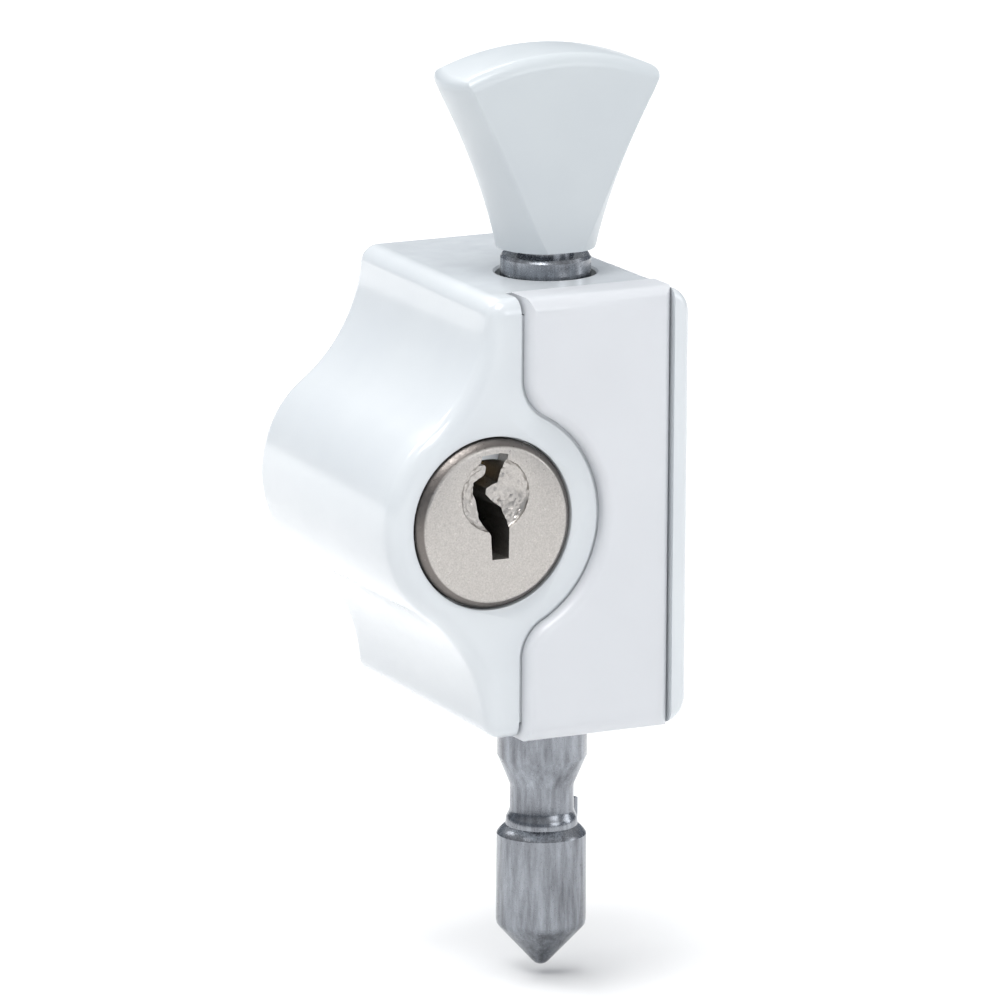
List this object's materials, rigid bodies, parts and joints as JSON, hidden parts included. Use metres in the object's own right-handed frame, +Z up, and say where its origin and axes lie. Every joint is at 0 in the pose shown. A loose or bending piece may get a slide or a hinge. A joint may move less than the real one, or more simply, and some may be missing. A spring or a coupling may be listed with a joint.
{
  "type": "window sash lock",
  "caption": "Keyed push-bolt lock for a window sash: white casting with a bulged side, key cylinder, clip-on front cover, and a vertical steel bolt with a fan-shaped knob.",
  "frame": {"origin": "point on the mounting back, in line with the bolt and level with the key cylinder", "axes": "+Z up along the bolt towards its knob; +Y out of the mounting back, into the sash, so the key cylinder faces -Y; +X away from the bulged side"},
  "size_m": [0.0302, 0.03, 0.0828],
  "materials": {
    "white_casting": "gloss",
    "white_cover": "satin",
    "pale_knob": "satin",
    "bolt_steel": "brushed",
    "nickel": "satin",
    "zinc_plate": "satin",
    "brass": "satin",
    "spring_steel": "satin",
    "nylon": "matte"
  },
  "bodies": {
    "casing": {"body_casting": "white_casting", "front_cover": "white_cover", "back_plate": "zinc_plate", "body_screws": "zinc_plate", "upper_bush": "nylon", "lower_bush": "nylon", "slide_spring": "spring_steel"},
    "bolt": {"bolt": "bolt_steel", "knob": "pale_knob"},
    "plug": {"key_plug": "nickel", "plug_clip": "spring_steel", "drive_cam": "zinc_plate", "cam_screw": "zinc_plate", "wafer_1": "brass", "wafer_2": "brass", "wafer_3": "brass", "wafer_4": "brass", "wafer_5": "brass", "wafer_spring_1": "spring_steel", "wafer_spring_2": "spring_steel", "wafer_spring_3": "spring_steel", "wafer_spring_4": "spring_steel", "wafer_spring_5": "spring_steel"},
    "slide": {"locking_slide": "zinc_plate"}
  },
  "joints": [
    {"name": "bolt_slide", "type": "slide", "parent": "casing", "child": "bolt", "axis": [0, 0, 1], "range_m": [0, 0.024]},
    {"name": "plug_turn", "type": "hinge", "parent": "casing", "child": "plug", "pos_m": [-0.0103, -0.0292, 0], "axis": [0, 1, 0], "range_deg": [0, 90]},
    {"name": "slide_throw", "type": "slide", "parent": "casing", "child": "slide", "axis": [-1, 0, 0], "range_m": [0, 0.00136]}
  ],
  "couplings": [
    {"joint": "slide_throw", "follows": "plug_turn", "m_per_rad": 0.000859}
  ]
}
